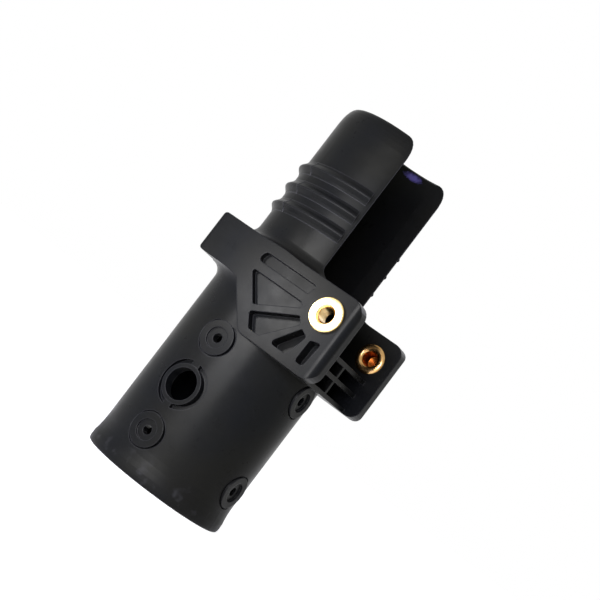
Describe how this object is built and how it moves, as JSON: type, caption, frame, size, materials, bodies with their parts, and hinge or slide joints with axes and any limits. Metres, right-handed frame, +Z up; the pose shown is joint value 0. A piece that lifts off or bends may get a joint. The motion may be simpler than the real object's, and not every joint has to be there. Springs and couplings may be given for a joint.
{
  "type": "hinged pole socket",
  "caption": "Tubular pole socket with a slotted, coarsely threaded spigot and a flat-sided collar whose ears carry brass bushings on one pivot axis.",
  "frame": {"origin": "centre of the pole socket's mouth, on the flat bottom rim", "axes": "+Z up the tube axis towards the spigot, +X towards the slot and the ears, Y along the pivot axis"},
  "size_m": [0.0725, 0.0638, 0.1639],
  "materials": {
    "moulding": "satin moulded black, glass-filled nylon look",
    "bushing_brass": "turned and polished"
  },
  "bodies": {
    "root": {"housing": "moulding", "front_bushing": "bushing_brass", "rear_bushing": "bushing_brass"}
  },
  "joints": []
}
